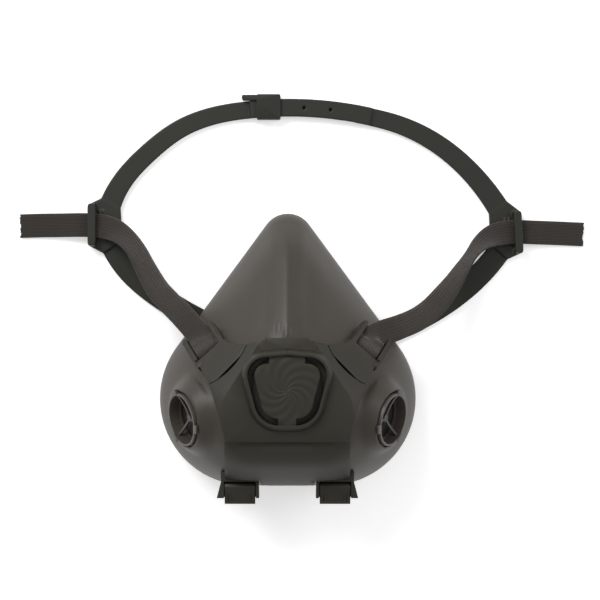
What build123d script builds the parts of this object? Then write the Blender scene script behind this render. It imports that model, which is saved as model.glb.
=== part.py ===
# Half-mask respirator without its filters, lying on its face seal with the head harness laid flat round it.
# Millimetres. Z points up out of the front of the mask, Y towards the nose, X across the face.
import math
import os

from build123d import *

os.makedirs("parts", exist_ok=True)

# ---- facepiece -------------------------------------------------------------------------------
WALL = 2.2
REST_RADIUS = 130
REST_RISE = 3.5
REST_MIDDLE = 18

# Levels of the silicone form: height, top of the nose circle, its radius, cheek width, chin, cheek radius.
LEVELS = [
    (0, 67.0, 11.5, 62.0, -67.0, 42.0),
    (4, 70.5, 13.0, 65.6, -69.8, 44.6),
    (11, 71.8, 13.8, 67.1, -70.7, 45.7),
    (21, 66.0, 12.6, 64.8, -69.5, 44.0),
    (33, 55.0, 11.0, 58.5, -67.0, 40.0),
    (44, 39.0, 10.5, 50.5, -62.5, 33.5),
    (50, 29.0, 10.8, 44.6, -58.5, 28.8),
    (55, 20.0, 11.5, 38.6, -54.6, 23.6),
    (58.5, 13.0, 12.3, 33.2, -50.6, 19.3),
    (61, 6.5, 13.0, 28.0, -46.6, 15.5),
]
FRONT = 61.0

# ---- ports and valves ------------------------------------------------------------------------
PORT_X = 50.6
PORT_Y = -33.9
PORT_Z = 40.0
PORT_AXIS = (0.85, -0.18, 0.50)
PORT_BORE = 12.6
VALVE_Y = -19.0
VALVE_BORE = 13.0

# ---- lower strap buckles ---------------------------------------------------------------------
PIN_Y = -69.4
PIN_Z = 38.0
PIN_RADIUS = 1.2
CLIP_X = 24.3

# ---- straps and bands ------------------------------------------------------------------------
STRAP_WIDTH = 12.7
STRAP_THICK = 1.5
BAND_THICK = 1.8
BUCKLE_LEFT = (-103.3, 66.2)
BUCKLE_RIGHT = (121.4, 62.3)
CROWN_BASE = 1.1
CROWN_RADIUS = 197.5
CROWN_MIDDLE = (0.5, -69.4)


def silicone_form(grow, floor):
    """The closed outer form of the facepiece, grown outwards by a skin thickness."""
    with BuildPart() as form:
        for height, nose_top, nose_r, width, chin, cheek_r in LEVELS:
            level = max(height, floor) + grow * height / FRONT
            with BuildSketch(Plane.XY.offset(level)):
                with Locations((0, nose_top - nose_r)):
                    Circle(nose_r + grow)
                with Locations((width - cheek_r, chin + cheek_r), (cheek_r - width, chin + cheek_r)):
                    Circle(cheek_r + grow)
                make_hull()
        loft()
    return form.part


def side(x, which):
    return x if which == "right" else -x


def port_plane(which):
    """Plane of an inlet port seat, its normal pointing out of the cheek."""
    return Plane(
        origin=(side(PORT_X, which), PORT_Y, PORT_Z),
        x_dir=(0, 1, 0.36),
        z_dir=(side(PORT_AXIS[0], which), PORT_AXIS[1], PORT_AXIS[2]),
    )


def ring(plane, outer, inner, start, height):
    with BuildPart() as band:
        with BuildSketch(plane.offset(start)):
            Circle(outer)
            if inner > 0:
                Circle(inner, mode=Mode.SUBTRACT)
        extrude(amount=height)
    return band.part


def collar(plane):
    """Sloping silicone lip that grips the flange of an inlet port."""
    with BuildPart() as lip:
        with BuildSketch(plane.offset(-4)):
            Circle(21.5)
        with BuildSketch(plane.offset(3)):
            Circle(15.6)
        loft()
    return lip.part


def edge_points(path, widths, sign):
    """Points beside a centre line, half a width to one side of it."""
    points = []
    for i, (x, y) in enumerate(path):
        ax, ay = path[max(i - 1, 0)]
        bx, by = path[min(i + 1, len(path) - 1)]
        length = math.hypot(bx - ax, by - ay)
        half = sign * widths[i] / 2
        points.append((x - (by - ay) / length * half, y + (bx - ax) / length * half))
    return points


def flat_band(path, widths, bottom, thick):
    upper = edge_points(path, widths, 1)
    lower = edge_points(path, widths, -1)
    with BuildPart() as band:
        with BuildSketch(Plane.XY.offset(bottom)):
            with BuildLine():
                Spline(*upper)
                Line(upper[-1], lower[-1])
                Spline(*lower[::-1])
                Line(lower[0], upper[0])
            make_face()
        extrude(amount=thick)
    return band.part


def strap_stations(path):
    """Sections along a strap: centre, direction across it turned by a twist, direction along it."""
    stations = []
    for i, (x, y, z, twist) in enumerate(path):
        before = path[max(i - 1, 0)]
        after = path[min(i + 1, len(path) - 1)]
        along = Vector(after[0] - before[0], after[1] - before[1], after[2] - before[2]).normalized()
        flat = along.cross(Vector(0, 0, 1)).normalized()
        across = flat.rotate(Axis((0, 0, 0), along), twist)
        stations.append(((x, y, z), across, along))
    return stations


def ribbon(stations, width, thick):
    """A flat strap lofted through stations: centre, direction across the strap, direction along it."""
    with BuildPart() as strap:
        for centre, across, along in stations:
            with BuildSketch(Plane(origin=centre, x_dir=across, z_dir=along)):
                Rectangle(width, thick)
        loft()
    return strap.part


def save(part, label):
    part.label = label
    export_step(part, f"parts/{label}.step")


# ---- silicone facepiece ----------------------------------------------------------------------
OUTER = silicone_form(0, 0)
INNER = silicone_form(-WALL, WALL)

with BuildPart() as cavity:
    add(INNER)
    with Locations((0, REST_MIDDLE, REST_RISE - REST_RADIUS)):
        Cylinder(REST_RADIUS + WALL, 200, rotation=(0, 90, 0), mode=Mode.SUBTRACT)

with BuildPart() as facepiece:
    add(OUTER)
    add(cavity.part, mode=Mode.SUBTRACT)
    with Locations((0, REST_MIDDLE, REST_RISE - REST_RADIUS)):
        Cylinder(REST_RADIUS, 200, rotation=(0, 90, 0), mode=Mode.SUBTRACT)
    with BuildSketch(Plane.XY.offset(-1)):
        with Locations((0, 49)):
            Circle(8.5)
        with Locations((17.5, -25), (-17.5, -25)):
            Circle(33)
        make_hull()
    extrude(amount=9, mode=Mode.SUBTRACT)
    for which in ("left", "right"):
        add(collar(port_plane(which)))
        add(ring(port_plane(which), 17.6, 0, -5.5, 5.5))
        add(ring(port_plane(which), 14.0, 0, -12, 24), mode=Mode.SUBTRACT)
        add(ring(port_plane(which), 16.5, 0, -12, 9), mode=Mode.SUBTRACT)
        add(ring(port_plane(which), 15.3, 0, 0, 1.8), mode=Mode.SUBTRACT)
        add(ring(port_plane(which), 15.3, 0, 3.0, 6), mode=Mode.SUBTRACT)
    with Locations((0, VALVE_Y, FRONT)):
        Cylinder(15.2, 12, mode=Mode.SUBTRACT)
save(facepiece.part, "facepiece")

# ---- inlet ports: bayonet body, gasket, flap and inner clamp ring ----------------------------
for which in ("left", "right"):
    seat = port_plane(which)
    inward = 90 if which == "right" else -90
    with BuildPart() as port:
        add(ring(seat, 15.0, PORT_BORE, 0.7, 0.9))
        add(ring(seat, 13.7, PORT_BORE, -5.0, 9.2))
        add(ring(seat, PORT_BORE + 0.1, 11.0, -2.4, 1.0))
        with BuildSketch(seat.offset(-5.4)):
            Circle(1.1)
        extrude(amount=4.4)
        with BuildSketch(seat.offset(-6.2)):
            Circle(2.1)
        extrude(amount=0.8)
        with BuildSketch(seat.offset(3.2)):
            with PolarLocations(14.3, 3, start_angle=inward):
                RectangleRounded(3.0, 4.6, 0.8)
        extrude(amount=1.2)
        with BuildSketch(seat.offset(-1.5)):
            Circle(2.0)
        extrude(amount=1.3)
        for turn in (0, 120, 240):
            angle = math.radians(inward + turn)
            radial = seat.x_dir * math.cos(angle) + seat.y_dir * math.sin(angle)
            with BuildSketch(Plane(origin=seat.origin, x_dir=radial, z_dir=radial.cross(seat.z_dir))):
                with BuildLine():
                    ThreePointArc((0.6, -1.45), (6.5, -0.6), (13.1, 2.1))
                    Line((13.1, 2.1), (13.1, 3.0))
                    ThreePointArc((13.1, 3.0), (6.5, 0.4), (0.6, -0.35))
                    Line((0.6, -0.35), (0.6, -1.45))
                make_face()
            extrude(amount=0.65, both=True)
    save(port.part, f"inlet_port_{which}")

    gasket = ring(seat, 15.0, 13.9, 0.05, 0.6)
    save(gasket, f"inlet_gasket_{which}")

    flap = ring(seat, 11.8, 1.45, -3.3, 0.6)
    save(flap, f"inhalation_flap_{which}")

    clamp = ring(seat, 16.2, 13.85, -4.7, 1.6)
    save(clamp, f"inlet_retainer_{which}")

# ---- exhalation valve ------------------------------------------------------------------------
valve = Plane(origin=(0, VALVE_Y, FRONT), z_dir=(0, 0, 1))
with BuildPart() as exhalation_seat:
    add(ring(valve, 17.6, VALVE_BORE, 0.05, 1.5))
    add(ring(valve, 15.0, VALVE_BORE, -4.2, 4.3))
    add(ring(valve, 14.2, VALVE_BORE, 1.5, 0.4))
    with BuildSketch(valve.offset(0.05)):
        Circle(3.6)
        with PolarLocations(0, 4, start_angle=45):
            with Locations((7, 0)):
                Rectangle(13, 2)
    extrude(amount=1.3)
    with BuildSketch(valve.offset(1.0)):
        Circle(1.6)
    extrude(amount=4.2)
save(exhalation_seat.part, "exhalation_seat")

exhalation_flap = ring(valve, 14.6, 1.95, 2.1, 0.8)
save(exhalation_flap, "exhalation_flap")

exhalation_retainer = ring(valve, 17.4, 15.1, -4.0, 1.5)
save(exhalation_retainer, "exhalation_retainer")

# ---- harness yoke: conforming plate, strap wings and chin skirt ------------------------------
YOKE_SKIN = silicone_form(2.6, 0)
YOKE_BED = silicone_form(0.3, 0)
YOKE_BROW = silicone_form(5.0, 0)
WING_FALL = 0.95
WING_LEAN = 0.15
WING_WIDTH = 19.2
WING_REACH = 17.5
ANCHOR = (39.6, 0.2, 49.9)
STRAP_REST = -0.75


def wing_plane(which):
    """Plane of a strap wing: X across the strap, Y out and down along the strap."""
    along = Vector(side(0.56, which), 0.828, -WING_FALL)
    lean_x = WING_FALL * 0.56 + WING_LEAN * 0.828
    lean_y = WING_FALL * 0.828 - WING_LEAN * 0.56
    normal = Vector(side(lean_x, which), lean_y, 1)
    return Plane(origin=(side(ANCHOR[0], which), ANCHOR[1], ANCHOR[2]), x_dir=along.cross(normal), z_dir=normal)


def cover_outline(grow):
    """Front cover seen from the front, its seam edges moved outwards by an amount."""
    with BuildSketch() as outline:
        with BuildLine():
            Polyline((-19.8, 4.9), (-11.4, 6.4), (-10.8, 7.6), (10.8, 7.6), (11.4, 6.4), (19.8, 4.9))
            ThreePointArc((19.8, 4.9), (27.5, -7.2), (39.2, -15.9))
            ThreePointArc((39.2, -15.9), (35.0, -28.5), (31.0, -44.4))
            Line((31.0, -44.4), (-31.0, -44.4))
            ThreePointArc((-31.0, -44.4), (-35.0, -28.5), (-39.2, -15.9))
            ThreePointArc((-39.2, -15.9), (-27.5, -7.2), (-19.8, 4.9))
        make_face()
        if grow > 0:
            offset(amount=grow)
    return outline.sketch


with BuildPart() as yoke_blank:
    add(YOKE_SKIN)
    add(YOKE_BED, mode=Mode.SUBTRACT)
    with BuildSketch(Plane.XY.offset(30)):
        with BuildLine():
            Line((-24, 4.2), (24, 4.2))
            ThreePointArc((24, 4.2), (31, 6.3), (36.5, 12.0))
            Line((36.5, 12.0), (46.5, -4.0))
            ThreePointArc((46.5, -4.0), (42.2, -11.0), (38.8, -17.0))
            ThreePointArc((38.8, -17.0), (33.6, -30.0), (29.6, -44.7))
            Polyline((29.6, -44.7), (31.6, -44.9), (31.8, -65.0), (14, -65.5), (13.4, -68.5))
            Line((13.4, -68.5), (-13.4, -68.5))
            Polyline((-13.4, -68.5), (-14, -65.5), (-31.8, -65.0), (-31.6, -44.9), (-29.6, -44.7))
            ThreePointArc((-29.6, -44.7), (-33.6, -30.0), (-38.8, -17.0))
            ThreePointArc((-38.8, -17.0), (-42.2, -11.0), (-46.5, -4.0))
            Line((-46.5, -4.0), (-36.5, 12.0))
            ThreePointArc((-36.5, 12.0), (-31, 6.3), (-24, 4.2))
        make_face()
    extrude(amount=60, mode=Mode.INTERSECT)

with BuildPart() as yoke_brow:
    add(YOKE_BROW)
    add(YOKE_BED, mode=Mode.SUBTRACT)
    with BuildSketch(Plane.XY.offset(30)):
        with BuildLine():
            Line((18, 4.2), (24, 4.2))
            ThreePointArc((24, 4.2), (30, 5.2), (34.5, 9.0))
            Line((34.5, 9.0), (45.5, -5.5))
            ThreePointArc((45.5, -5.5), (41.8, -11.0), (38.8, -17.0))
            Line((38.8, -17.0), (18, 4.2))
        make_face()
        mirror(about=Plane.YZ)
        add(cover_outline(0.35), mode=Mode.SUBTRACT)
    extrude(amount=60, mode=Mode.INTERSECT)

with BuildPart() as harness_yoke:
    add(yoke_blank.part)
    add(yoke_brow.part)
    for which in ("left", "right"):
        wing = wing_plane(which)
        with BuildSketch(wing.offset(-3.6)):
            with Locations((0, WING_REACH / 2 - 2)):
                RectangleRounded(WING_WIDTH, WING_REACH + 4, 1.5)
        extrude(amount=3.6)
        with BuildSketch(wing.offset(-1)):
            with Locations((-7.8, WING_REACH / 2), (7.8, WING_REACH / 2)):
                RectangleRounded(1.8, WING_REACH - 0.8, 0.5)
        extrude(amount=1.9)
        with BuildSketch(wing.offset(-1.6)):
            with Locations((0, 12)):
                Rectangle(STRAP_WIDTH + 1.1, 24)
        extrude(amount=8, mode=Mode.SUBTRACT)
        with BuildSketch(wing.offset(-8)):
            with Locations((0, 1.7)):
                Rectangle(STRAP_WIDTH + 1.1, 3.4)
        extrude(amount=8, mode=Mode.SUBTRACT)
        middle = side(CLIP_X, which)
        with BuildSketch(Plane.XY.offset(PIN_Z - 5.2)):
            Polygon(
                (middle + 9.8, -61),
                (middle + 9.6, -66),
                (middle + (11.8 if which == "right" else 9.8), -74.6),
                (middle - (11.8 if which == "left" else 9.8), -74.6),
                (middle - 9.6, -66),
                (middle - 9.8, -61),
                align=None,
            )
        extrude(amount=8.4)
        with BuildSketch(Plane.XY.offset(PIN_Z - 3.6)):
            with Locations((middle, PIN_Y - 6.8)):
                Rectangle(16.4, 20)
        extrude(amount=8, mode=Mode.SUBTRACT)
        with BuildSketch(Plane.YZ.offset(middle - 14)):
            with Locations((PIN_Y, PIN_Z)):
                Circle(PIN_RADIUS + 0.05)
        extrude(amount=28, mode=Mode.SUBTRACT)
    add(YOKE_BED, mode=Mode.SUBTRACT)
    with Locations((0, VALVE_Y, 62)):
        Cylinder(19, 20, mode=Mode.SUBTRACT)
save(harness_yoke.part, "harness_yoke")

for which in ("left", "right"):
    with BuildPart() as strap_anchor:
        with BuildSketch(wing_plane(which).offset(-3.0)):
            with Locations((0, 1.7)):
                Rectangle(STRAP_WIDTH + 0.6, 2.0)
        extrude(amount=1.3)
    save(strap_anchor.part, f"strap_anchor_{which}")

# ---- front cover with its vent ---------------------------------------------------------------
COVER_SKIN = silicone_form(5.2, 0)
COVER_BED = silicone_form(2.9, 0)
BOSS_TOP = 70.2


def vent_outline(plane, grow):
    """Rounded trapezoid of the vent as a face, its edge moved outwards by an amount."""
    with BuildSketch(plane) as outline:
        with Locations((10.6, -11), (-10.6, -11)):
            Circle(9.2 + grow)
        with Locations((0, -13)):
            Circle(12.2 + grow)
        with Locations((4.5, -24), (-4.5, -24)):
            Circle(11.9 + grow)
        make_hull()
    return outline.sketch


with BuildPart() as boss:
    add(vent_outline(Plane.XY.offset(60), 6.4))
    add(vent_outline(Plane.XY.offset(BOSS_TOP), 1.2))
    loft()

with BuildPart() as vent_hole:
    add(vent_outline(Plane.XY.offset(55), 0))
    extrude(amount=30)

with BuildPart() as front_cover:
    add(COVER_SKIN)
    with BuildSketch(Plane.XY.offset(40)):
        add(cover_outline(0))
    extrude(amount=40, mode=Mode.INTERSECT)
    add(boss.part)
    add(COVER_BED, mode=Mode.SUBTRACT)
    add(vent_hole.part, mode=Mode.SUBTRACT)
save(front_cover.part, "front_cover")

with BuildPart() as vent_plate:
    add(vent_outline(Plane.XY.offset(66.8), 0))
    extrude(amount=1.6)
    with BuildSketch(Plane.XY.offset(66)):
        add(vent_outline(Plane.XY, 2))
        add(vent_outline(Plane.XY, -3.5), mode=Mode.SUBTRACT)
        with Locations((0, 0)):
            Rectangle(17.8, 24, mode=Mode.SUBTRACT)
        with Locations((0, -36)):
            Rectangle(9, 14, mode=Mode.SUBTRACT)
    extrude(amount=4, mode=Mode.SUBTRACT)
save(vent_plate.part, "vent_plate")


# ---- lower strap buckles hung from the chin skirt --------------------------------------------
for which in ("left", "right"):
    middle = side(CLIP_X, which)
    with BuildPart() as lower_buckle:
        with BuildSketch(Plane.YZ.offset(middle - 7.8)):
            with Locations((PIN_Y, PIN_Z)):
                Circle(2.9)
            with Locations((PIN_Y - 6.9, PIN_Z - 0.2)):
                Circle(1.6)
            make_hull()
            with Locations((PIN_Y, PIN_Z)):
                Circle(PIN_RADIUS + 0.35, mode=Mode.SUBTRACT)
        extrude(amount=15.6)
        for rib in (-6.6, -5.0, 5.0, 6.6):
            with Locations((middle + rib, PIN_Y - 3.8, PIN_Z + 2.0)):
                Box(0.8, 6.4, 1.0)
    save(lower_buckle.part, f"lower_buckle_{which}")

    with BuildPart() as buckle_pin:
        with BuildSketch(Plane.YZ.offset(middle - 9.4)):
            with Locations((PIN_Y, PIN_Z)):
                Circle(PIN_RADIUS)
        extrude(amount=18.8)
    save(buckle_pin.part, f"buckle_pin_{which}")


# ---- head cradle: crown band in two halves, nape band and the two strap buckles ---------------
def crown_point(x):
    """Point on the top arc of the crown, along which the keeper slides."""
    return x, CROWN_MIDDLE[1] + math.sqrt(CROWN_RADIUS**2 - (x - CROWN_MIDDLE[0]) ** 2)


LEFT_PATH = [(-93.6, 77.6), (-87, 90), (-73, 105), (-57, 117), *[crown_point(x) for x in (-37, -15, 7, 30)]]
LEFT_WIDTHS = [11.6, 10.6, 10.2, 9.8, 9.4, 9.2, 9.2, 9.2]
RIGHT_PATH = [(111.0, 75.4), (98.6, 92), (80.6, 108), *[crown_point(x) for x in (56, 44, 40)]]
RIGHT_WIDTHS = [11.6, 10.8, 10.2, 9.6, 9.4, 9.4]
LAP_PATH = [crown_point(x) for x in (40, 20, 0, -20)]
LAP_WIDTHS = [9.4, 9.4, 9.4, 9.4]
NAPE_PATH = [(-92.6, 54.6), (-84, 42), (-70, 29.8), (-48.5, 16.6), (6, 0.5), (59.5, 12), (83.4, 25), (99, 37.5), (111.6, 52)]
NAPE_WIDTHS = [12.2, 12.4, 12.5, 12.5, 12.5, 12.5, 12.5, 12.4, 12.2]

crown_band_left = flat_band(LEFT_PATH, LEFT_WIDTHS, CROWN_BASE, BAND_THICK)
save(crown_band_left, "crown_band_left")

with BuildPart() as crown_band_right:
    add(flat_band(RIGHT_PATH, RIGHT_WIDTHS, CROWN_BASE, BAND_THICK))
    add(flat_band(LAP_PATH, LAP_WIDTHS, CROWN_BASE + BAND_THICK + 0.2, BAND_THICK))
    add(flat_band([crown_point(x) for x in (44, 42, 38, 36)], LAP_WIDTHS, CROWN_BASE, 2 * BAND_THICK + 0.2))
    for x in (8.5, 22.5):
        with Locations((*crown_point(x), 4)):
            Cylinder(0.9, 4, mode=Mode.SUBTRACT)
save(crown_band_right.part, "crown_band_right")

nape_band = flat_band(NAPE_PATH, NAPE_WIDTHS, 0, BAND_THICK)
save(nape_band, "nape_band")


def cradle_buckle(centre, tilt, which, crown, crown_width, nape, nape_width):
    """Ring plate joining crown and nape, with the raised bar the strap runs under."""
    across = 1 if which == "left" else -1
    crown_out = edge_points(crown, crown_width, across)[0]
    crown_in = edge_points(crown, crown_width, -across)[0]
    nape_out = edge_points(nape, nape_width, -across)[0]
    nape_in = edge_points(nape, nape_width, across)[0]
    frame = Plane(origin=(*centre, 0), x_dir=(math.cos(tilt), math.sin(tilt), 0), z_dir=(0, 0, 1))
    corners = [frame.from_local_coords((-across * 2.1, y * 10.9, 0)) for y in (1, -1)]
    with BuildPart() as buckle:
        with BuildSketch():
            with BuildLine():
                Polyline(crown_in, crown_out, (corners[0].X, corners[0].Y), (corners[1].X, corners[1].Y), nape_out, nape_in)
                Line(nape_in, crown_in)
            make_face()
        extrude(amount=3)
        for end in (-9.9, 9.9):
            with BuildSketch(frame.offset(3)):
                with Locations((0, end)):
                    RectangleRounded(4.2, 2.6, 1.0)
            extrude(amount=4)
        with BuildSketch(frame.offset(6.6)):
            RectangleRounded(4.2, 22.4, 1.9)
        extrude(amount=2.6)
        for tooth in (4.0, 6.0):
            with BuildSketch(frame.offset(3)):
                with Locations((across * tooth, 0)):
                    Rectangle(0.8, 15)
            extrude(amount=0.7)
    return buckle.part


save(
    cradle_buckle(BUCKLE_LEFT, 0, "left", LEFT_PATH, LEFT_WIDTHS, NAPE_PATH, NAPE_WIDTHS),
    "cradle_buckle_left",
)
save(
    cradle_buckle(
        BUCKLE_RIGHT, math.radians(3), "right", RIGHT_PATH, RIGHT_WIDTHS, NAPE_PATH[::-1], NAPE_WIDTHS
    ),
    "cradle_buckle_right",
)

# ---- keeper sleeve on the overlapped crown ---------------------------------------------------
with BuildPart() as crown_keeper:
    with BuildSketch():
        with Locations(crown_point(-10.2)):
            with Locations((0, 0.6)):
                RectangleRounded(12.6, 13.2, 1.0)
        with Locations((-15.5, crown_point(-15.5)[1] + 5.9)):
            RectangleRounded(17.6, 2.6, 1.0)
    extrude(amount=6.4)
    with BuildSketch(Plane.XY.offset(0.8)):
        with BuildLine():
            inner_arc = CROWN_RADIUS - 5.0
            outer_arc = CROWN_RADIUS + 5.0
            reach = math.radians(6)
            x0, y0 = CROWN_MIDDLE
            low = [(x0 + inner_arc * math.sin(a), y0 + inner_arc * math.cos(a)) for a in (-2 * reach, -reach, reach)]
            high = [(x0 + outer_arc * math.sin(a), y0 + outer_arc * math.cos(a)) for a in (reach, -reach, -2 * reach)]
            ThreePointArc(*low)
            Line(low[2], high[0])
            ThreePointArc(*high)
            Line(high[2], low[0])
        make_face()
    extrude(amount=4.4, mode=Mode.SUBTRACT)
save(crown_keeper.part, "crown_keeper")

# ---- elastic webbing: run from wing to buckle, and the free tail ------------------------------
STRAP_RUNS = {
    "left": [
        (-54.6, 19.0, 33.2, 4),
        (-67.0, 31.4, 23.4, 12),
        (-75.0, 44.6, 15.6, 24),
        (-82.1, 56.0, 10.4, 26),
        (-88.8, 62.0, 7.8, 14),
        (-93.4, 64.6, 6.4, 4),
        (-97.0, 65.6, 5.8, 0),
    ],
    "right": [
        (57.9, 12.8, 34.6, -6),
        (68.8, 17.8, 28.4, -12),
        (81.2, 29.2, 20.6, -26),
        (90.5, 42.5, 14.2, -44),
        (96.6, 50.6, 11.0, -44),
        (102.6, 57.0, 8.8, -28),
        (108.6, 60.8, 7.2, -8),
        (112.0, 62.0, 6.2, 0),
        (115.0, 62.4, 5.8, 0),
    ],
}
for which in ("left", "right"):
    wing = wing_plane(which)
    start = [wing.from_local_coords((0, y, STRAP_REST)) for y in (4.0, 9.0, 14.0)]
    path = [(p.X, p.Y, p.Z, 0) for p in start] + STRAP_RUNS[which]
    stations = strap_stations(path)
    for i in range(3):
        stations[i] = (stations[i][0], side(1, which) * wing.x_dir, wing.y_dir)
    run = ribbon(stations, STRAP_WIDTH, STRAP_THICK)
    save(run, f"elastic_strap_{which}")

TAILS = {
    "left": [(-98.6, 66.0, 4.6), (-107.0, 66.2, 4.6), (-120.0, 66.0, 2.4), (-142.0, 65.6, 0.95)],
    "right": [(116.6, 62.3, 4.6), (125.6, 62.3, 4.6), (138.0, 62.0, 2.4), (156.4, 61.4, 0.95)],
}
for which in ("left", "right"):
    tail = ribbon([(p, (0, 1, 0), (side(1, which), 0, 0)) for p in TAILS[which]], STRAP_WIDTH, STRAP_THICK)
    save(tail, f"strap_tail_{which}")
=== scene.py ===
import math

import bmesh
import bpy
import numpy as np
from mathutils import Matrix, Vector


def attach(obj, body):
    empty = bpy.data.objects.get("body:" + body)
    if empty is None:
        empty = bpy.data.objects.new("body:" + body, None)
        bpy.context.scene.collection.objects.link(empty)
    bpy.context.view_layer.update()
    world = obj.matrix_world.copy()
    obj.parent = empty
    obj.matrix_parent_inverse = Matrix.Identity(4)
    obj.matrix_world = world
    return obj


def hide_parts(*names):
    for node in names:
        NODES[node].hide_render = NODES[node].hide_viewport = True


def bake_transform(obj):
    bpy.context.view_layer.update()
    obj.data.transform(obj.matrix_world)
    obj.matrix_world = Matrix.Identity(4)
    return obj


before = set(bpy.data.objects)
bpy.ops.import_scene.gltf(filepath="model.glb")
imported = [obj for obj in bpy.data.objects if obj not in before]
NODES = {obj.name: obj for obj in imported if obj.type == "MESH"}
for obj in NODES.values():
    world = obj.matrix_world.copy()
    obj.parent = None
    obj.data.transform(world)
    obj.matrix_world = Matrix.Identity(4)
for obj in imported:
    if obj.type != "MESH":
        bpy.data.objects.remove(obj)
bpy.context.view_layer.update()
MM = 0.001
WELD = 2e-5  # metres; closer vertices of a copied CAD mesh are one
SPLINE_STEPS = 24


# ---- small mesh tools --------------------------------------------------------------------------
def new_object(name, verts, faces, uvs=None):
    """A smooth-shaded mesh piece; verts in millimetres, uvs one pair per vertex."""
    mesh = bpy.data.meshes.new(name)
    mesh.from_pydata([tuple(float(c) * MM for c in v) for v in verts], [], faces)
    mesh.update()
    if uvs is not None:
        layer = mesh.uv_layers.new(name="UVMap")
        index = np.zeros(len(mesh.loops), np.int32)
        mesh.loops.foreach_get("vertex_index", index)
        layer.data.foreach_set("uv", np.asarray(uvs, np.float32)[index].ravel())
    shade_smooth(mesh)
    obj = bpy.data.objects.new(name, mesh)
    bpy.context.scene.collection.objects.link(obj)
    return obj


def coords(obj):
    """The vertices in millimetres, one row each."""
    co = np.zeros(len(obj.data.vertices) * 3, np.float32)
    obj.data.vertices.foreach_get("co", co)
    return co.reshape(-1, 3).astype(float) / MM


def set_coords(obj, co):
    obj.data.vertices.foreach_set("co", (np.asarray(co) * MM).astype(np.float32).ravel())
    obj.data.update()


def copy_of_node(node, name):
    """A free copy of a CAD node's mesh, welded into closed shells."""
    mesh = NODES[node].data.copy()
    mesh.name = name
    obj = bpy.data.objects.new(name, mesh)
    bpy.context.scene.collection.objects.link(obj)
    work = bmesh.new()
    work.from_mesh(mesh)
    bmesh.ops.remove_doubles(work, verts=work.verts, dist=WELD)
    bmesh.ops.recalc_face_normals(work, faces=work.faces)
    work.to_mesh(mesh)
    work.free()
    if mesh.has_custom_normals:
        bpy.context.view_layer.objects.active = obj
        with bpy.context.temp_override(object=obj, active_object=obj):
            bpy.ops.mesh.customdata_custom_splitnormals_clear()
    return obj


def bake(obj):
    """Applies the modifiers of a free piece."""
    graph = bpy.context.evaluated_depsgraph_get()
    mesh = bpy.data.meshes.new_from_object(obj.evaluated_get(graph))
    obj.modifiers.clear()
    obj.data = mesh


def shade_smooth(mesh):
    mesh.polygons.foreach_set("use_smooth", [True] * len(mesh.polygons))


def smoothstep(a, b, x):
    """0 at a, 1 at b, eased at both ends; falls instead of rising when a is above b."""
    t = np.clip((x - a) / (b - a), 0, 1)
    return t * t * (3 - 2 * t)


def spline_points(points, count):
    """Centripetal Catmull-Rom through the points, evenly spaced along its length.

    The first three columns are the place; any more are carried along.
    """
    p = np.asarray(points, float)
    p = np.vstack([2 * p[0] - p[1], p, 2 * p[-1] - p[-2]])
    fine = []
    for i in range(1, len(p) - 2):
        p0, p1, p2, p3 = p[i - 1 : i + 3]
        t = [0.0]
        for a, b in ((p0, p1), (p1, p2), (p2, p3)):
            t.append(t[-1] + max(np.linalg.norm(b[:3] - a[:3]), 1e-6) ** 0.5)
        for at in np.linspace(t[1], t[2], SPLINE_STEPS, endpoint=False):
            a1 = (t[1] - at) / (t[1] - t[0]) * p0 + (at - t[0]) / (t[1] - t[0]) * p1
            a2 = (t[2] - at) / (t[2] - t[1]) * p1 + (at - t[1]) / (t[2] - t[1]) * p2
            a3 = (t[3] - at) / (t[3] - t[2]) * p2 + (at - t[2]) / (t[3] - t[2]) * p3
            b1 = (t[2] - at) / (t[2] - t[0]) * a1 + (at - t[0]) / (t[2] - t[0]) * a2
            b2 = (t[3] - at) / (t[3] - t[1]) * a2 + (at - t[1]) / (t[3] - t[1]) * a3
            fine.append((t[2] - at) / (t[2] - t[1]) * b1 + (at - t[1]) / (t[2] - t[1]) * b2)
    fine.append(p[-2])
    fine = np.array(fine)
    run = np.concatenate([[0], np.cumsum(np.linalg.norm(np.diff(fine[:, :3], axis=0), axis=1))])
    want = np.linspace(0, run[-1], count)
    return np.column_stack([np.interp(want, run, fine[:, k]) for k in range(fine.shape[1])])


# ---- materials -----------------------------------------------------------------------------------
POLYMER_IOR = 1.46
ROUGH_SPREAD = 0.07  # how far the fine grain moves the roughness either way
DRIFT_SCALE = 28.0  # large soft changes of tone
SKIN_RADIUS = (0.0015, 0.001, 0.0008)


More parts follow.
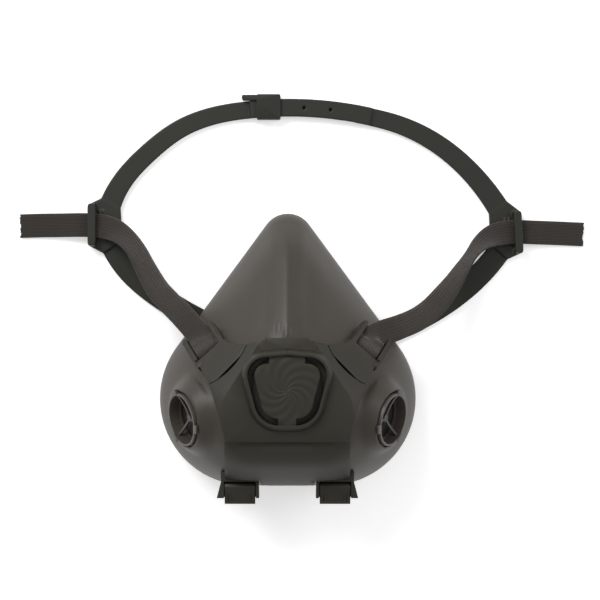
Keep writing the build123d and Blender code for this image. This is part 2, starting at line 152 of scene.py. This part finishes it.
def shader(name, color, rough, spread=0.15, grain=900.0, bump=0.02, subsurface=0.0, sheen=0.0):
    """Principled material with large-scale tone drift, fine grain and a light micro bump."""
    mat = bpy.data.materials.new(name)
    mat.use_nodes = True
    tree = mat.node_tree
    bsdf = tree.nodes["Principled BSDF"]
    bsdf.inputs["Base Color"].default_value = (*color, 1)
    bsdf.inputs["Roughness"].default_value = rough
    bsdf.inputs["IOR"].default_value = POLYMER_IOR
    bsdf.inputs["Subsurface Weight"].default_value = subsurface
    bsdf.inputs["Subsurface Radius"].default_value = SKIN_RADIUS
    bsdf.inputs["Sheen Weight"].default_value = sheen
    bsdf.inputs["Sheen Roughness"].default_value = 0.45
    where = tree.nodes.new("ShaderNodeTexCoord")
    drift = tree.nodes.new("ShaderNodeTexNoise")
    drift.inputs["Scale"].default_value = DRIFT_SCALE
    drift.inputs["Detail"].default_value = 4.0
    fine = tree.nodes.new("ShaderNodeTexNoise")
    fine.inputs["Scale"].default_value = grain
    fine.inputs["Detail"].default_value = 3.0
    tree.links.new(where.outputs["Object"], drift.inputs["Vector"])
    tree.links.new(where.outputs["Object"], fine.inputs["Vector"])
    tint = tree.nodes.new("ShaderNodeMix")
    tint.data_type = "RGBA"
    tint.inputs["A"].default_value = (*[c * (1 - spread) for c in color], 1)
    tint.inputs["B"].default_value = (*[c * (1 + spread) for c in color], 1)
    tree.links.new(drift.outputs["Fac"], tint.inputs["Factor"])
    tree.links.new(tint.outputs["Result"], bsdf.inputs["Base Color"])
    span = tree.nodes.new("ShaderNodeMapRange")
    span.inputs["To Min"].default_value = max(rough - ROUGH_SPREAD, 0.03)
    span.inputs["To Max"].default_value = min(rough + ROUGH_SPREAD, 1.0)
    tree.links.new(fine.outputs["Fac"], span.inputs["Value"])
    tree.links.new(span.outputs["Result"], bsdf.inputs["Roughness"])
    push = tree.nodes.new("ShaderNodeBump")
    push.inputs["Strength"].default_value = bump * 10
    push.inputs["Distance"].default_value = 0.0001
    tree.links.new(fine.outputs["Fac"], push.inputs["Height"])
    tree.links.new(push.outputs["Normal"], bsdf.inputs["Normal"])
    return mat


WEAVE_RIBS = 17.0  # ribs across the strap's width
WEAVE_PICKS = 620.0  # picks along the whole strap
PICK_SHARE = 0.35  # height of the picks against the ribs


def webbing_shader(name, color):
    """Woven elastic: ribs along the strap and picks across it, both from the strap's own UVs; the colour has
    painted shade in the weave's valleys and painted light on its crests.
    """
    mat = shader(name, color, 0.78, spread=0.18, grain=2500.0, bump=0.03, sheen=0.25)
    tree = mat.node_tree
    bsdf = tree.nodes["Principled BSDF"]
    uv = tree.nodes.new("ShaderNodeUVMap")
    split = tree.nodes.new("ShaderNodeSeparateXYZ")
    tree.links.new(uv.outputs["UV"], split.inputs["Vector"])

    def wave(axis, cycles):
        scale = tree.nodes.new("ShaderNodeMath")
        scale.operation = "MULTIPLY"
        scale.inputs[1].default_value = cycles * 2 * math.pi
        tree.links.new(split.outputs[axis], scale.inputs[0])
        sine = tree.nodes.new("ShaderNodeMath")
        sine.operation = "SINE"
        tree.links.new(scale.outputs[0], sine.inputs[0])
        return sine

    across, along = wave("X", WEAVE_RIBS), wave("Y", WEAVE_PICKS)
    weave = tree.nodes.new("ShaderNodeMath")
    weave.operation = "MULTIPLY_ADD"
    weave.inputs[1].default_value = PICK_SHARE
    tree.links.new(along.outputs[0], weave.inputs[0])
    tree.links.new(across.outputs[0], weave.inputs[2])
    push = tree.nodes.new("ShaderNodeBump")
    push.inputs["Strength"].default_value = 0.55
    push.inputs["Distance"].default_value = 0.0002
    tree.links.new(weave.outputs[0], push.inputs["Height"])
    tree.links.new(push.outputs["Normal"], bsdf.inputs["Normal"])
    # painted shade and light: the base colour is darkened in the weave's valleys and lightened on its crests,
    # following the bump's height
    painted_weave_shade = tree.nodes.new("ShaderNodeMapRange")
    painted_weave_shade.inputs["From Min"].default_value = -(1 + PICK_SHARE)
    painted_weave_shade.inputs["From Max"].default_value = 1 + PICK_SHARE
    painted_weave_shade.inputs["To Min"].default_value = 0.78
    painted_weave_shade.inputs["To Max"].default_value = 1.12
    tree.links.new(weave.outputs[0], painted_weave_shade.inputs["Value"])
    source = bsdf.inputs["Base Color"].links[0].from_socket
    blend = tree.nodes.new("ShaderNodeMix")
    blend.data_type = "RGBA"
    blend.blend_type = "MULTIPLY"
    blend.inputs["Factor"].default_value = 1.0
    tree.links.new(source, blend.inputs["A"])
    tree.links.new(painted_weave_shade.outputs["Result"], blend.inputs["B"])
    tree.links.new(blend.outputs["Result"], bsdf.inputs["Base Color"])
    return mat


SILICONE = shader(
    "silicone", (0.041, 0.0343, 0.0258), 0.48, spread=0.05, grain=1400.0, bump=0.012, subsurface=0.05
)
COVER = shader("cover_plastic", (0.0178, 0.0152, 0.0082), 0.52, spread=0.08, grain=2600.0, bump=0.03)
CRADLE = shader("cradle_plastic", (0.0125, 0.0125, 0.0072), 0.52, spread=0.10, grain=1800.0, bump=0.02)
VALVE = shader("valve_plastic", (0.050, 0.043, 0.035), 0.42, spread=0.08, grain=2200.0, bump=0.02)
RUBBER = shader("valve_rubber", (0.022, 0.020, 0.017), 0.55, spread=0.12, grain=1500.0, bump=0.02)
WEBBING = webbing_shader("webbing", (0.028, 0.0213, 0.0160))


VENT_CENTRE = (0.0, -19.0)
WHIRL_ARMS = 11
WHIRL_PITCH = 6.0  # radial distance in which an arm turns by its own spacing


def whirl_shader(name, color, centre, arms, pitch):
    """Cover plastic with a moulded whirl of fine ribs round a centre point, in millimetres."""
    mat = shader(name, color, 0.50, spread=0.08, grain=2600.0, bump=0.03)
    tree = mat.node_tree
    bsdf = tree.nodes["Principled BSDF"]
    where = tree.nodes.new("ShaderNodeTexCoord")
    shift = tree.nodes.new("ShaderNodeVectorMath")
    shift.operation = "SUBTRACT"
    shift.inputs[1].default_value = (centre[0] * MM, centre[1] * MM, 0)
    tree.links.new(where.outputs["Object"], shift.inputs[0])
    split = tree.nodes.new("ShaderNodeSeparateXYZ")
    tree.links.new(shift.outputs[0], split.inputs[0])

    def math_node(operation, a, b):
        node = tree.nodes.new("ShaderNodeMath")
        node.operation = operation
        for socket, value in zip(node.inputs, (a, b)):
            if isinstance(value, float):
                socket.default_value = value
            else:
                tree.links.new(value, socket)
        return node.outputs[0]

    x, y = split.outputs["X"], split.outputs["Y"]
    angle = math_node("ARCTAN2", y, x)
    square = math_node("ADD", math_node("POWER", x, 2.0), math_node("POWER", y, 2.0))
    radius = math_node("SQRT", square, 0.0)
    turns = math_node("MULTIPLY", radius, 2 * math.pi / (pitch * MM))
    phase = math_node("ADD", math_node("MULTIPLY", angle, float(arms)), turns)
    wave = math_node("SINE", phase, 0.0)
    push = tree.nodes.new("ShaderNodeBump")
    push.inputs["Strength"].default_value = 0.38
    push.inputs["Distance"].default_value = 0.00022
    tree.links.new(wave, push.inputs["Height"])
    tree.links.new(push.outputs["Normal"], bsdf.inputs["Normal"])
    return mat


WHIRL = whirl_shader("vent_whirl", (0.0195, 0.0168, 0.0092), VENT_CENTRE, WHIRL_ARMS, WHIRL_PITCH)


def finish_piece(obj, material, body=None, replaced=()):
    """Gives a free piece its material, parents it to its body's empty if it has one, and hides the CAD parts it
    stands in for.
    """
    obj.data.materials.clear()
    obj.data.materials.append(material)
    if body:
        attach(obj, body)
    if replaced:
        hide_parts(*replaced)


# ---- silicone facepiece: the CAD shell, refined and modelled as one soft moulding ---------------
SHELL_VOXEL = 0.7
PORT = np.array([50.6, -33.9, 40.0])
AXIS = np.array([0.85, -0.18, 0.50])
AXIS = AXIS / np.linalg.norm(AXIS)
PORT_LIP = (15.4, 17.4)  # radii between which the soft fillet round an inlet begins
PORT_FLARE = (30, 24)  # radii between which it ends
PORT_DEPTH = (-12, -9)  # distances along the axis between which it fades into the cup
# height of the nose crest at distances up the nose
CREST_Y = [6, 20, 29, 39, 55, 66, 72]
CREST_Z = [61, 55, 50, 44, 33, 21, 11]
CREST_RISE, CREST_WIDTH = 1.1, 3.6
HOLLOW_DEPTH, HOLLOW_PLACE, HOLLOW_WIDTH = 0.9, 9.5, 5.0  # the dips beside the crest
GRIP_HEIGHT, GRIP_PITCH = 0.22, 2.4  # fine gripping ribs at the foot of the nose


def port_frame(co, which):
    """Distance from an inlet's axis and height along it, for points in millimetres."""
    axis = AXIS * [which, 1, 1]
    rel = co - PORT * [which, 1, 1]
    along = rel @ axis
    return np.linalg.norm(rel - along[:, None] * axis, axis=1), along


def soften_region(obj, weight, iterations):
    """Smooths the vertices in proportion to their weight."""
    group = obj.vertex_groups.new(name="soft_region")
    for i in np.nonzero(weight > 0.02)[0]:
        group.add([int(i)], float(weight[i]), "REPLACE")
    soften = obj.modifiers.new("soften", "SMOOTH")
    soften.factor = 0.5
    soften.iterations = iterations
    soften.vertex_group = "soft_region"
    bake(obj)
    obj.vertex_groups.clear()


def make_facepiece():
    obj = copy_of_node("facepiece", "silicone_facepiece")
    remesh = obj.modifiers.new("remesh", "REMESH")
    remesh.mode = "VOXEL"
    remesh.voxel_size = SHELL_VOXEL * MM
    soften = obj.modifiers.new("soften", "SMOOTH")
    soften.factor = 0.5
    soften.iterations = 12
    bake(obj)
    co = coords(obj)
    weight = np.zeros(len(co))
    for which in (1, -1):
        radius, along = port_frame(co, which)
        weight += smoothstep(*PORT_LIP, radius) * smoothstep(*PORT_FLARE, radius) * smoothstep(*PORT_DEPTH, along)
    soften_region(obj, np.clip(weight, 0, 1), 70)
    co = coords(obj)
    x, y, z = co.T
    wide = np.abs(x)
    # crest down the nose, the flanks drawn in beside it, and short gripping ribs at its foot
    crest_z = np.interp(y, CREST_Y, CREST_Z)
    outside = smoothstep(-9, -3, z - crest_z + 0.55 * wide)
    on_nose = smoothstep(4, 16, y) * smoothstep(70, 54, y) * outside
    co[:, 2] += CREST_RISE * on_nose * np.exp(-((x / CREST_WIDTH) ** 2))
    beside = np.exp(-(((wide - HOLLOW_PLACE) / HOLLOW_WIDTH) ** 2))
    co[:, 2] -= HOLLOW_DEPTH * on_nose * beside * smoothstep(56, 34, y)
    foot = smoothstep(8.0, 9.5, y) * smoothstep(15.5, 13.5, y)
    foot = foot * smoothstep(7.5, 5.5, wide) * smoothstep(52, 54, z)
    co[:, 2] += GRIP_HEIGHT * foot * np.cos(2 * math.pi * x / GRIP_PITCH)
    set_coords(obj, co)
    shade_smooth(obj.data)
    finish_piece(obj, SILICONE, "mask", ["facepiece"])


make_facepiece()


# ---- hard CAD parts: bevelled edges ---------------------------------------------------------------
SHARP_ANGLE = math.radians(32)


def dress(node, material, bevel=0.35, segments=3):
    """Shows a CAD node as it is, with its own material and rounded edges."""
    obj = NODES[node]
    obj.data.materials.clear()
    obj.data.materials.append(material)
    shade_smooth(obj.data)
    weld = obj.modifiers.new("weld", "WELD")
    weld.merge_threshold = 1e-5
    edge = obj.modifiers.new("edge", "BEVEL")
    edge.width = bevel * MM
    edge.segments = segments
    edge.limit_method = "ANGLE"
    edge.angle_limit = SHARP_ANGLE
    edge.harden_normals = True


for node in ("harness_yoke", "front_cover"):
    dress(node, COVER, 0.45)
for node in ("exhalation_seat", "exhalation_retainer"):
    dress(node, VALVE, 0.2, 2)
dress("exhalation_flap", RUBBER, 0.15, 2)
dress("crown_keeper", CRADLE, 0.5)
for which in ("left", "right"):
    dress(f"inlet_port_{which}", VALVE, 0.3)
    dress(f"inlet_gasket_{which}", RUBBER, 0.15, 2)
    dress(f"inhalation_flap_{which}", RUBBER, 0.12, 2)
    dress(f"inlet_retainer_{which}", VALVE, 0.2, 2)
    dress(f"strap_anchor_{which}", COVER, 0.2, 2)
    dress(f"lower_buckle_{which}", COVER, 0.35)
    dress(f"buckle_pin_{which}", COVER, 0.15, 2)
dress("vent_plate", WHIRL, 0.3)


# ---- head cradle: bands and strap buckles as one soft-edged moulding ------------------------------
CRADLE_VOXEL = 0.4


def make_cradle():
    nodes = ["crown_band_left", "crown_band_right", "nape_band", "cradle_buckle_left", "cradle_buckle_right"]
    work = bmesh.new()
    for node in nodes:
        work.from_mesh(NODES[node].data)
    bmesh.ops.remove_doubles(work, verts=work.verts, dist=1e-6)
    mesh = bpy.data.meshes.new("head_cradle")
    work.to_mesh(mesh)
    work.free()
    obj = bpy.data.objects.new("head_cradle", mesh)
    bpy.context.scene.collection.objects.link(obj)
    remesh = obj.modifiers.new("remesh", "REMESH")
    remesh.mode = "VOXEL"
    remesh.voxel_size = CRADLE_VOXEL * MM
    soften = obj.modifiers.new("soften", "SMOOTH")
    soften.factor = 0.5
    soften.iterations = 5
    bake(obj)
    shade_smooth(obj.data)
    finish_piece(obj, CRADLE, "harness", nodes)


make_cradle()


# ---- elastic webbing: one strap a side, from the wing slot through the buckle to the free end ----
STRAP_WIDTH, STRAP_THICK = 12.6, 1.4
RIB_HEIGHT, RIB_COUNT = 0.09, 8.5
EDGE_LOSS = 0.85  # share of the thickness lost at the very edge
FRAY = 0.35  # unevenness of the cut threads at the free end
FRAY_SEED = {"left": 7, "right": 11}
RINGS, AROUND = ((300, 76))

# the right wing's slot, the way the strap leaves it, and the wing's upright
WING_SLOT = np.array([39.6, 0.2, 49.9])
WING_RUN = np.array([0.56, 0.828, -0.95])
WING_UP = np.array([0.656, 0.703, 1.0])
# the strap on the wing: distance from the slot and height over the wing
WING_LEAD = ((0.9, -2.7), (2.4, -0.85), (8.5, -0.72), (14.0, -0.60))

# centre line from the wing, through the buckle, to the free end
STRAP_RUNS = {
    "left": [
        (-54.6, 19.0, 33.2), (-61.4, 25.6, 28.0), (-67.0, 31.6, 23.4), (-71.1, 37.8, 19.2),
        (-75.0, 44.6, 15.6), (-78.2, 50.6, 12.8), (-82.1, 56.0, 10.4), (-87.2, 60.8, 8.2),
        (-92.6, 63.9, 6.5), (-98.0, 65.3, 5.5), (-103.3, 65.9, 4.7), (-110.0, 66.1, 4.2),
        (-120.0, 66.0, 2.6), (-131.0, 65.9, 1.4), (-141.6, 65.6, 0.85),
    ],
    "right": [
        (57.9, 12.8, 34.4), (63.6, 15.0, 31.2), (69.0, 17.8, 28.0), (75.0, 22.4, 24.0),
        (81.2, 29.2, 20.2), (86.2, 35.8, 16.8), (90.7, 42.5, 14.0), (96.4, 50.4, 11.2),
        (101.8, 56.4, 9.2), (107.8, 60.2, 7.4), (113.7, 61.9, 6.0), (121.4, 62.4, 4.7),
        (129.0, 62.2, 3.9), (142.0, 61.8, 1.8), (156.2, 61.2, 0.85),
    ],
}
# twist in degrees at the points on the wing and then at those above
STRAP_TWIST = {
    "left": [0, 0, 0, 2, 8, 14, 20, 27, 33, 38, 38, 30, 16, 6, 0, 0, 0, 0, 0],
    "right": [0, 0, 0, 4, 8, 10, 12, 18, 28, 42, 54, 62, 46, 22, 6, 0, 0, 0, 0],
}


def strap_route(which, side):
    """Points of the centre line in millimetres."""
    mirror = [side, 1, 1]
    run, up = WING_RUN * mirror, WING_UP * mirror
    run /= np.linalg.norm(run)
    up /= np.linalg.norm(up)
    lead = [WING_SLOT * mirror + run * t + up * h for t, h in WING_LEAD]
    return np.vstack([lead, STRAP_RUNS[which]])


def strap_axes(centre, twist, side):
    """Directions along the strap, across its width and through its thickness at each ring."""
    tangent = np.gradient(centre, axis=0)
    tangent /= np.linalg.norm(tangent, axis=1)[:, None]
    flat = np.cross(tangent, [0, 0, 1.0])
    flat /= np.linalg.norm(flat, axis=1)[:, None]
    flat *= side
    up = np.cross(flat, tangent) * side
    up *= np.sign(up[:, 2:3])
    wide = flat * np.cos(twist)[:, None] + up * np.sin(twist)[:, None]
    high = np.cross(tangent, wide)
    high *= np.sign(np.sum(high * up, axis=1))[:, None]
    return tangent, wide, high


def strap_section():
    """Ribbed section with thin edges: share of the half width, and height in millimetres."""
    u = np.linspace(-1, 1, AROUND // 2)
    rib = RIB_HEIGHT * np.cos(u * math.pi * RIB_COUNT)
    body = STRAP_THICK / 2 * (1 - np.abs(u) ** 10 * EDGE_LOSS) + rib * (1 - np.abs(u) ** 6)
    return np.vstack([np.column_stack([u, body]), np.column_stack([u[::-1], -body[::-1]])])


def make_strap(which):
    side = 1 if which == "right" else -1
    path = strap_route(which, side)
    line = spline_points(np.column_stack([path, STRAP_TWIST[which]]), RINGS)
    centre, twist = line[:, :3], np.radians(line[:, 3])
    tangent, wide, high = strap_axes(centre, twist, side)
    profile = strap_section()
    half, ring = AROUND // 2, len(profile)
    fray = np.random.default_rng(FRAY_SEED[which]).normal(0, FRAY, half)
    verts, uvs = [], []
    for i in range(RINGS):
        along = i / (RINGS - 1)
        for k, (across_share, thick) in enumerate(profile):
            p = centre[i] + wide[i] * across_share * STRAP_WIDTH / 2 + high[i] * thick
            if i == RINGS - 1:
                p = p + tangent[i] * fray[k if k < half else 2 * half - 1 - k]
            verts.append(p)
            uvs.append(((across_share + 1) / 2, along))
    faces = []
    for i in range(RINGS - 1):
        for k in range(ring):
            n = (k + 1) % ring
            faces.append((i * ring + k, i * ring + n, (i + 1) * ring + n, (i + 1) * ring + k))
    faces.append(tuple(range(ring))[::-1])
    faces.append(tuple((RINGS - 1) * ring + k for k in range(ring)))
    obj = new_object(f"elastic_webbing_{which}", verts, faces, uvs)
    work = bmesh.new()
    work.from_mesh(obj.data)
    bmesh.ops.recalc_face_normals(work, faces=work.faces)
    work.to_mesh(obj.data)
    work.free()
    finish_piece(obj, WEBBING, None, [f"elastic_strap_{which}", f"strap_tail_{which}"])
    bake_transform(obj)


for which in ("left", "right"):
    make_strap(which)

# ---- stage, lights and camera -----------------------------------------------------------------------
FLOOR_HALF, FLOOR_Z = 3, -0.0004
FLOOR_GLOW = 0.42  # lifts the soft shadows to the white of a lit table
ROOM_LIGHT = 0.50
SENSOR = 36
VIEW_DISTANCE, VIEW_WIDTH = 1100, 318  # millimetres from the table, and the width seen there

corners = [(-1, -1), (1, -1), (1, 1), (-1, 1)]
floor_mesh = bpy.data.meshes.new("floor")
floor_mesh.from_pydata([(x * FLOOR_HALF, y * FLOOR_HALF, FLOOR_Z) for x, y in corners], [], [(0, 1, 2, 3)])
floor = bpy.data.objects.new("floor", floor_mesh)
bpy.context.scene.collection.objects.link(floor)
paper = shader("floor_white", (0.93, 0.93, 0.93), 0.9, spread=0.005, grain=60.0, bump=0.0)
paper_bsdf = paper.node_tree.nodes["Principled BSDF"]
paper_bsdf.inputs["Emission Color"].default_value = (1, 1, 1, 1)
paper_bsdf.inputs["Emission Strength"].default_value = FLOOR_GLOW
floor.data.materials.append(paper)

world = bpy.data.worlds.new("studio")
bpy.context.scene.world = world
world.use_nodes = True
world.node_tree.nodes["Background"].inputs["Color"].default_value = (1, 1, 1, 1)
world.node_tree.nodes["Background"].inputs["Strength"].default_value = ROOM_LIGHT


def softbox(name, place, target, width, height, power):
    """A square-on area light; places in metres, power in watts."""
    data = bpy.data.lights.new(name, "AREA")
    data.shape = "RECTANGLE"
    data.size, data.size_y = width, height
    data.energy = power
    obj = bpy.data.objects.new(name, data)
    bpy.context.scene.collection.objects.link(obj)
    obj.location = place
    obj.rotation_mode = "QUATERNION"
    obj.rotation_quaternion = (Vector(target) - Vector(place)).to_track_quat("-Z", "Y")


MASK_MIDDLE = (0, 0, 0.03)
softbox("key", (-0.50, 0.70, 0.80), MASK_MIDDLE, 0.6, 0.45, 8.5)
softbox("fill", (0.80, 0.30, 0.75), MASK_MIDDLE, 0.5, 0.5, 2.6)

camera = bpy.data.cameras.new("camera")
camera.lens = SENSOR * VIEW_DISTANCE / VIEW_WIDTH
camera.sensor_width = SENSOR
camera.clip_start = 0.01
view = bpy.data.objects.new("camera", camera)
bpy.context.scene.collection.objects.link(view)
view.location = (0.0064, 0.0265, VIEW_DISTANCE * MM)
bpy.context.scene.camera = view
bpy.context.scene.view_settings.view_transform = "Standard"
